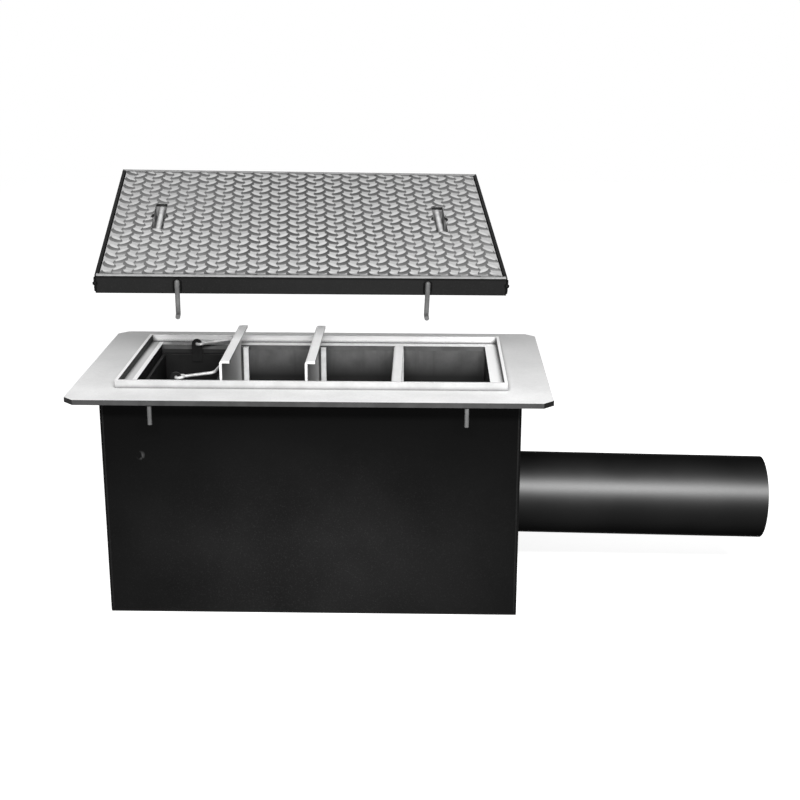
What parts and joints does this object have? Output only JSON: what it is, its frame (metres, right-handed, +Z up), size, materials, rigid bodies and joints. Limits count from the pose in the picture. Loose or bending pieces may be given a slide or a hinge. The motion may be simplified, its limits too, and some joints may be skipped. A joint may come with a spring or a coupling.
{
  "type": "petrol interceptor",
  "caption": "Welded steel drainage tank with lift-out baffles, a sludge bucket, a side outlet pipe and a tread plate cover in its frame held above it.",
  "frame": {"origin": "middle of the tank's underside, on the floor", "axes": "+X along the tank towards the outlet pipe, +Y towards the back where the inlet is, +Z up"},
  "size_m": [1.3781, 0.5857, 0.8265],
  "materials": {
    "black_paint": "satin bitumen black",
    "inside_paint": "dull dark grey",
    "galvanised": "mottled zinc, light grey",
    "dark_steel": "dull black",
    "tread": "worn chequer plate",
    "bright_rod": "bare steel rod"
  },
  "bodies": {
    "tank": {"tank_trough": "black_paint", "left_end_plate": "black_paint", "right_end_plate": "black_paint", "top_plate": "galvanised", "cover_ring": "galvanised", "opening_collar": "inside_paint", "ground_rods": "bright_rod", "first_wings": "inside_paint", "second_wings": "inside_paint", "third_wings": "inside_paint", "first_guides": "galvanised", "second_guides": "galvanised", "third_guides": "galvanised", "bucket_bearers": "inside_paint", "sludge_bucket": "dark_steel", "bucket_rim": "dark_steel", "bucket_ears": "dark_steel", "outlet_pipe": "black_paint", "outlet_bend": "inside_paint", "inlet_spigot": "black_paint", "cover_frame": "black_paint", "cover_seat": "dark_steel", "tread_plate": "tread", "cover_ribs": "dark_steel", "left_pocket": "dark_steel", "right_pocket": "dark_steel", "left_lifting_bar": "bright_rod", "right_lifting_bar": "bright_rod", "cover_anchors": "bright_rod"},
    "first_baffle": {"first_baffle": "galvanised"},
    "second_baffle": {"second_baffle": "galvanised"},
    "third_baffle": {"third_baffle": "galvanised"},
    "bail": {"bucket_bail": "bright_rod"}
  },
  "joints": [
    {"name": "first_baffle_lift", "type": "slide", "parent": "tank", "child": "first_baffle", "axis": [0, 0, 1], "range_m": [-0.043, 0.165]},
    {"name": "second_baffle_lift", "type": "slide", "parent": "tank", "child": "second_baffle", "axis": [0, 0, 1], "range_m": [-0.043, 0.165]},
    {"name": "third_baffle_lift", "type": "slide", "parent": "tank", "child": "third_baffle", "axis": [0, 0, 1], "range_m": [0, 0.208]},
    {"name": "bail_swing", "type": "hinge", "parent": "tank", "child": "bail", "pos_m": [-0.2675, 0, 0.467], "axis": [0, -1, 0], "range_deg": [0, 145]}
  ]
}
